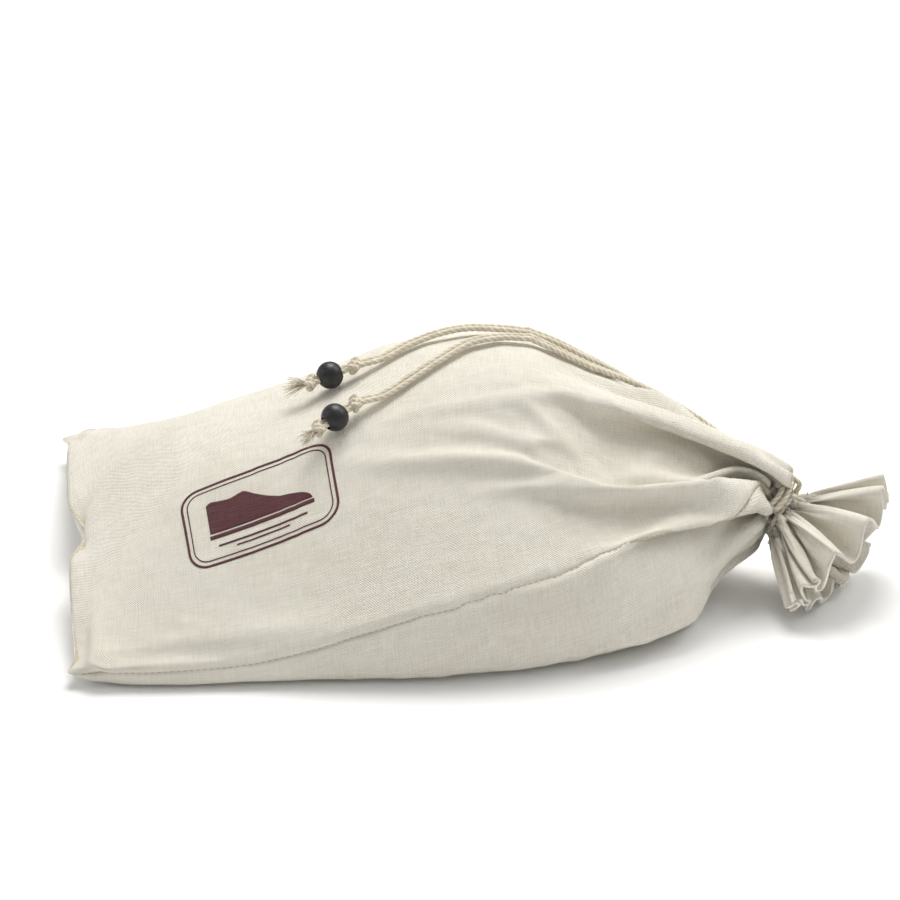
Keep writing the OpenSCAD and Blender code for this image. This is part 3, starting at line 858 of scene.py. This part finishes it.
STITCHED_ROWS = range(1, NECK_ROW - 3)
BAND_INSET = 4
normals = cloth_normals()
for seam, col, node_band, node_thread in (
    ("near_side", 0, "near_side_seam", "near_seam_thread"),
    ("far_side", COLUMNS, "far_side_seam", "far_seam_thread"),
):
    ids = [grid[0, row, col] for row in STITCHED_ROWS]
    edge = [Vector(P[v]) for v in ids]
    outward = [Vector(normals[v]) for v in ids]
    step_in = BAND_INSET if col == 0 else -BAND_INSET
    inward = []
    for row in STITCHED_ROWS:
        middle = (P[grid[0, row, col + step_in]] + P[grid[1, row, col + step_in]]) / 2
        narrow = 1 - 0.6 * min(1, max(0, (row - 66) / 10))
        inward.append(narrow * Vector(middle - P[grid[0, row, col]]).normalized())
    seam_band(f"{seam}_seam_allowance", edge, inward, 0.0050, node_band)
    stitch_row(f"{seam}_seam_stitches", edge, outward, 0.0024, 0.0006, 0.00042, node_thread, -0.0002)
ids = [grid[0, 0, col] for col in range(2, COLUMNS - 1)]
edge = [Vector(P[v]) for v in ids]
inward = [Vector((P[grid[0, BAND_INSET, col]] + P[grid[1, BAND_INSET, col]]) / 2
                 - P[grid[0, 0, col]]).normalized()
          for col in range(2, COLUMNS - 1)]
seam_band("closed_end_seam_allowance", edge, inward, 0.0036, "bottom_seam")
stitch_row("closed_end_seam_stitches", edge, [-n for n in inward], 0.0022, 0.0010, 0.00045,
           "bottom_seam_thread", -0.0004)
for hem_name, side, node in (("front", 0, "front_hem_stitching"), ("back", 1, "back_hem_stitching")):
    row = NECK_ROW + 3
    ids = [grid[side, row, col] for col in range(COLUMNS + 1)]
    line = [Vector(P[v]) + Vector(normals[v]) * 0.0002 for v in ids]
    stitch_row(f"{hem_name}_hem_stitches", line, [Vector(normals[v]) for v in ids],
               0.0026, 0.0009, 0.0006, node)


# Print: one colour of maroon ink, screen printed on the near slope of the front panel: a low
# shoe in side view over two lines, in a frame with round corners.
INK_AT = (0.108, 0.084)
ink_shape = bmesh.new()


def on_cloth(s, w):
    row, col = s / STEP, w / STEP
    r, c = int(row), int(col)
    u, v = row - r, col - c
    corner = [P[grid[0, min(r + i, ROWS), min(c + j, COLUMNS)]] for i in (0, 1) for j in (0, 1)]
    return Vector(corner[0] * (1 - u) * (1 - v) + corner[1] * (1 - u) * v
                  + corner[2] * u * (1 - v) + corner[3] * u * v)


def ink_point(x, y):
    turn = math.radians(7)
    s = INK_AT[0] + (x * math.cos(turn) - y * math.sin(turn))
    w = INK_AT[1] + (x * math.sin(turn) + y * math.cos(turn))
    return s, w


def ink_stroke(points, width, closed=False):
    """A line of ink of even width along points in the print's own plane."""
    line = [Vector((x, y, 0)) for x, y in points]
    if closed:
        line = line + [line[0]]
    dense = []
    for a, b in zip(line, line[1:]):
        steps = max(1, int((b - a).length / 0.0007))
        dense += [a.lerp(b, k / steps) for k in range(steps)]
    if not closed:
        dense.append(line[-1])
    rows = []
    count = len(dense)
    for i, p in enumerate(dense):
        before = dense[(i - 1) % count] if closed or i else p
        after = dense[(i + 1) % count] if closed or i < count - 1 else p
        forward = (after - before).normalized()
        side = Vector((-forward.y, forward.x, 0))
        rows.append([p + side * width * (j - 1) / 2 for j in range(3)])
    made = []
    for r in rows:
        made.append([ink_shape.verts.new((q.x, q.y, 0)) for q in r])
    pairs = list(zip(made, made[1:])) + ([(made[-1], made[0])] if closed else [])
    for first, second in pairs:
        for j in range(2):
            ink_shape.faces.new((first[j], second[j], second[j + 1], first[j + 1]))


def ink_fill(lower, upper, first, last, steps, across):
    """A solid patch of ink between two edges, given as functions of the way along it."""
    made = []
    for i in range(steps + 1):
        x = first + (last - first) * i / steps
        made.append([ink_shape.verts.new((x, lower(x) + (upper(x) - lower(x)) * j / across, 0))
                     for j in range(across + 1)])
    for a, b in zip(made, made[1:]):
        for j in range(across):
            ink_shape.faces.new((a[j], b[j], b[j + 1], a[j + 1]))


def frame_line(half_x, half_y, corner):
    points = []
    for cx, cy, start in ((1, 1, 0), (-1, 1, 90), (-1, -1, 180), (1, -1, 270)):
        for k in range(9):
            t = math.radians(start + 90 * k / 8)
            points.append((cx * (half_x - corner) + corner * math.cos(t),
                           cy * (half_y - corner) + corner * math.sin(t)))
    return points


def curve_through(knots):
    xs = [k[0] for k in knots]
    ys = [k[1] for k in knots]
    fine = smooth_line([Vector((x, y, 0)) for x, y in zip(xs, ys)], 0.0008)
    fx = [p.x for p in fine]
    fy = [p.y for p in fine]
    return lambda x: float(np.interp(x, fx, fy))


ink_stroke(frame_line(0.0420, 0.0235, 0.010), 0.0013, closed=True)
ink_stroke(frame_line(0.0392, 0.0207, 0.0078), 0.0006, closed=True)
shoe_top = curve_through([(-0.0290, 0.0110), (-0.0262, 0.0128), (-0.0205, 0.0118), (-0.0150, 0.0112),
                          (-0.0095, 0.0124), (-0.0060, 0.0122), (0.0020, 0.0068), (0.0120, 0.0020),
                          (0.0210, -0.0002), (0.0275, -0.0034), (0.0292, -0.0062)])
shoe_base = curve_through([(-0.0290, -0.0060), (-0.0200, -0.0062), (-0.0060, -0.0062), (0.0100, -0.0062),
                           (0.0292, -0.0064)])
ink_fill(shoe_base, shoe_top, -0.0288, 0.0290, 84, 18)
ink_fill(lambda x: -0.0094, lambda x: -0.0072, -0.0292, 0.0298, 80, 3)
ink_stroke([(-0.0250, -0.0138), (0.0250, -0.0138)], 0.0010)
ink_stroke([(-0.0150, -0.0165), (0.0150, -0.0165)], 0.0008)
mesh = bpy.data.meshes.new("printed_emblem_ink")
ink_shape.to_mesh(mesh)
ink_shape.free()
front_skin = BVHTree.FromPolygons([tuple(v.co) for v in front_panel.data.vertices],
                                  [tuple(f.vertices) for f in front_panel.data.polygons])
cut = [ink_point(v.co.x, v.co.y) for v in mesh.vertices]
for v, (s, w) in zip(mesh.vertices, cut):
    guess = on_cloth(s, w)
    n = Vector(normals[grid[0, round(s / STEP), round(w / STEP)]])
    hit = front_skin.ray_cast(guess + n * 0.004, -n, 0.008)
    v.co = (hit[0] if hit[0] else guess) + n * 0.00012
layer = mesh.uv_layers.new(name="cut_cloth")
for face in mesh.polygons:
    face.use_smooth = True
    for loop, v in zip(face.loop_indices, face.vertices):
        layer.data[loop].uv = cut[v]
ink = placed("printed_emblem_ink", mesh)
pick(ink)
bpy.ops.object.mode_set(mode="EDIT")
bpy.ops.mesh.select_all(action="SELECT")
bpy.ops.mesh.normals_make_consistent(inside=False)
bpy.ops.object.mode_set(mode="OBJECT")
thick = ink.modifiers.new("film", "SOLIDIFY")
thick.thickness = 0.0002
thick.offset = 0
bpy.ops.object.modifier_apply(modifier=thick.name)
maroon_ink = canvas_finish("maroon_screen_ink", (0.125, 0.028, 0.034, 1), (0.075, 0.014, 0.018, 1),
                           (0.30, 0.20, 0.17, 1))
ink.data.materials.append(maroon_ink)
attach(ink, "bag")
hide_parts("printed_emblem")


# Beads: turned wood, stained black and waxed to a satin. Each is a little flattened where
# its hole comes out, and slides on both strands between its knots.
black_stain = bpy.data.materials.new("black_stained_wood")
black_stain.use_nodes = True
tree = black_stain.node_tree
shader = tree.nodes["Principled BSDF"]
place = tree.nodes.new("ShaderNodeTexCoord")
stretch = tree.nodes.new("ShaderNodeMapping")
stretch.inputs["Scale"].default_value = (260, 900, 900)
tree.links.new(place.outputs["Object"], stretch.inputs["Vector"])
pores = tree.nodes.new("ShaderNodeTexNoise")
pores.inputs["Scale"].default_value = 1.0
pores.inputs["Detail"].default_value = 5
tree.links.new(stretch.outputs["Vector"], pores.inputs["Vector"])
tone = tree.nodes.new("ShaderNodeValToRGB")
tone.color_ramp.elements[0].color = (0.004, 0.004, 0.005, 1)
tone.color_ramp.elements[0].position = 0.3
tone.color_ramp.elements[1].color = (0.022, 0.021, 0.022, 1)
tone.color_ramp.elements[1].position = 0.75
tree.links.new(pores.outputs["Fac"], tone.inputs["Fac"])
tree.links.new(tone.outputs["Color"], shader.inputs["Base Color"])
worn = tree.nodes.new("ShaderNodeMapRange")
worn.inputs["To Min"].default_value = 0.30
worn.inputs["To Max"].default_value = 0.46
tree.links.new(pores.outputs["Fac"], worn.inputs["Value"])
tree.links.new(worn.outputs["Result"], shader.inputs["Roughness"])
bump = tree.nodes.new("ShaderNodeBump")
bump.inputs["Strength"].default_value = 0.25
bump.inputs["Distance"].default_value = 0.0002
tree.links.new(pores.outputs["Fac"], bump.inputs["Height"])
tree.links.new(bump.outputs["Normal"], shader.inputs["Normal"])

BEAD_RADIUS = 0.0067
BEAD_HALF = 0.0059
BORE = 0.0034
BORE_FLARE = 0.00015
FLAT_START = 64
SPOKES = 48
for cord, centre, axis in (("near", NEAR_BEAD, NEAR_AXIS), ("far", FAR_BEAD, FAR_AXIS)):
    profile = []
    for k in range(17):
        t = math.radians(-FLAT_START + 8 * k)
        height = BEAD_HALF * math.sin(t) / math.sin(math.radians(FLAT_START))
        profile.append((BEAD_RADIUS * math.cos(t), height))
    profile += [(BORE + BORE_FLARE, BEAD_HALF * 0.94), (BORE, BEAD_HALF * 0.80), (BORE, 0.0),
                (BORE, -BEAD_HALF * 0.80), (BORE + BORE_FLARE, -BEAD_HALF * 0.94)]
    shape = bmesh.new()
    turn = axis.to_track_quat("Z", "Y").to_matrix()
    rings = []
    for k in range(SPOKES):
        a = 2 * math.pi * k / SPOKES
        rings.append([shape.verts.new(centre + turn @ Vector((r * math.cos(a), r * math.sin(a), z)))
                      for r, z in profile])
    for k in range(SPOKES):
        first, second = rings[k], rings[(k + 1) % SPOKES]
        for j in range(len(profile)):
            i = (j + 1) % len(profile)
            shape.faces.new((first[j], second[j], second[i], first[i]))
    bmesh.ops.recalc_face_normals(shape, faces=shape.faces)
    mesh = bpy.data.meshes.new(f"{cord}_turned_bead")
    shape.to_mesh(mesh)
    shape.free()
    bead = placed(f"{cord}_turned_bead", mesh)
    pick(bead)
    smooth = bead.modifiers.new("smooth", "SUBSURF")
    smooth.levels = smooth.render_levels = 1
    bpy.ops.object.modifier_apply(modifier=smooth.name)
    bpy.ops.object.shade_smooth()
    bead.data.materials.append(black_stain)
    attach(bead, f"{cord}_bead")
    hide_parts(f"{cord}_bead")


# Knots: each strand is tied off on both sides of its bead in a small overhand knot, and past
# the last knots the ends are left to fray into a soft tuft.
def tie_knot(name, centres, axis, size, lay):
    """Small overhand knots, one for each strand, drawn tight."""
    tied = []
    for number, (centre, turn) in enumerate(centres):
        q = axis.to_track_quat("Z", "Y").to_matrix()
        loop = []
        for k in range(61):
            t = 2 * math.pi * k / 60 + turn
            trefoil = Vector(((math.sin(t) + 2 * math.sin(2 * t)) * size * 0.36,
                              (math.cos(t) - 2 * math.cos(2 * t)) * size * 0.36,
                              -math.sin(3 * t) * size * 0.62))
            loop.append(centre + q @ trefoil)
        tied.append(lay_strand(f"{name}_{number}", smooth_line(loop, 0.0006), 0.0024, lay, 12))
    bpy.ops.object.select_all(action="DESELECT")
    for part in tied:
        part.select_set(True)
    bpy.context.view_layer.objects.active = tied[0]
    bpy.ops.object.join()
    knot = bpy.context.object
    knot.name = name
    knot.data.name = name
    knot.data.materials.append(raw_cotton)
    return knot


def fray(name, root, axis, spread, reach, count, seed):
    """The loose end: many fine bent fibres."""
    rng = np.random.default_rng(seed)
    shape = bmesh.new()
    side = axis.orthogonal().normalized()
    other = axis.cross(side)
    for k in range(count):
        a = rng.uniform(0, 2 * math.pi)
        lean = rng.uniform(0.05, spread)
        bend = rng.uniform(-0.6, 0.6)
        heading = (axis + lean * (math.cos(a) * side + math.sin(a) * other)).normalized()
        drop = Vector((0, 0, -1)) * rng.uniform(0.0, 0.35)
        length = reach * rng.uniform(0.55, 1.0)
        at = root + 0.0009 * rng.uniform(0.2, 1.0) * (math.cos(a) * side + math.sin(a) * other)
        width = 0.00019 * rng.uniform(0.7, 1.2)
        rings = []
        for j in range(7):
            t = j / 6
            p = at + heading * length * t + (drop + bend * heading.cross(axis)) * length * t * t * 0.6
            p += 0.0004 * t * Vector((math.sin(9 * t + k), math.cos(7 * t + k), 0))
            w = width * (1 - 0.55 * t)
            rings.append([shape.verts.new(p + w * (math.cos(q * 2.094) * side + math.sin(q * 2.094) * other))
                          for q in range(3)])
        for first, second in zip(rings, rings[1:]):
            for q in range(3):
                shape.faces.new((first[q], first[(q + 1) % 3], second[(q + 1) % 3], second[q]))
        shape.faces.new(rings[0][::-1])
        shape.faces.new(rings[-1])
    bmesh.ops.recalc_face_normals(shape, faces=shape.faces)
    mesh = bpy.data.meshes.new(name)
    shape.to_mesh(mesh)
    shape.free()
    layer = mesh.uv_layers.new(name="along_strand")
    for face in mesh.polygons:
        face.use_smooth = True
        for loop, v in zip(face.loop_indices, face.vertices):
            co = mesh.vertices[v].co
            layer.data[loop].uv = (co.y * 200, co.x)
    tuft = placed(name, mesh)
    tuft.data.materials.append(raw_cotton)
    return tuft


for cord, centre, axis, hinge, lean, tuft_length, seed in (
    ("near", NEAR_BEAD, NEAR_AXIS, NEAR_HINGE, (0, -0.1, 0.05), 0.0100, 8),
    ("far", FAR_BEAD, FAR_AXIS, FAR_HINGE, (0, 0.25, 0.25), 0.0125, 5),
):
    body = f"{cord}_tail"
    level = axis.cross(Vector((0, 0, 1))).normalized()
    before = centre - axis * KNOT_BEFORE
    after = centre + axis * KNOT_AFTER
    inner = tie_knot(f"{cord}_inner_knots", [(before + level * 0.0013 - axis * 0.0011, 0.4),
                                             (before - level * 0.0013 + axis * 0.0013, 1.7)],
                     axis, 0.0024, 0.006)
    end = tie_knot(f"{cord}_end_knots", [(after + level * 0.0012 - axis * 0.0008, 0.9),
                                         (after - level * 0.0012 + axis * 0.0010, 2.3)],
                   axis, 0.0024, 0.006)
    heading = (axis + Vector(lean)).normalized()
    tuft = fray(f"{cord}_frayed_end", after + axis * 0.0020, heading, 0.62, tuft_length, 70, seed)
    for piece, node in ((inner, f"{cord}_inner_knot"), (end, f"{cord}_end_knot")):
        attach(piece, body)
        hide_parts(node)
    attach(tuft, body)
    for letter, node in (("a", f"{cord}_cord"), ("b", f"{cord}_cord_tail")):
        strand, path = strands[cord, letter]
        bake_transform(strand)
        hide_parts(node)
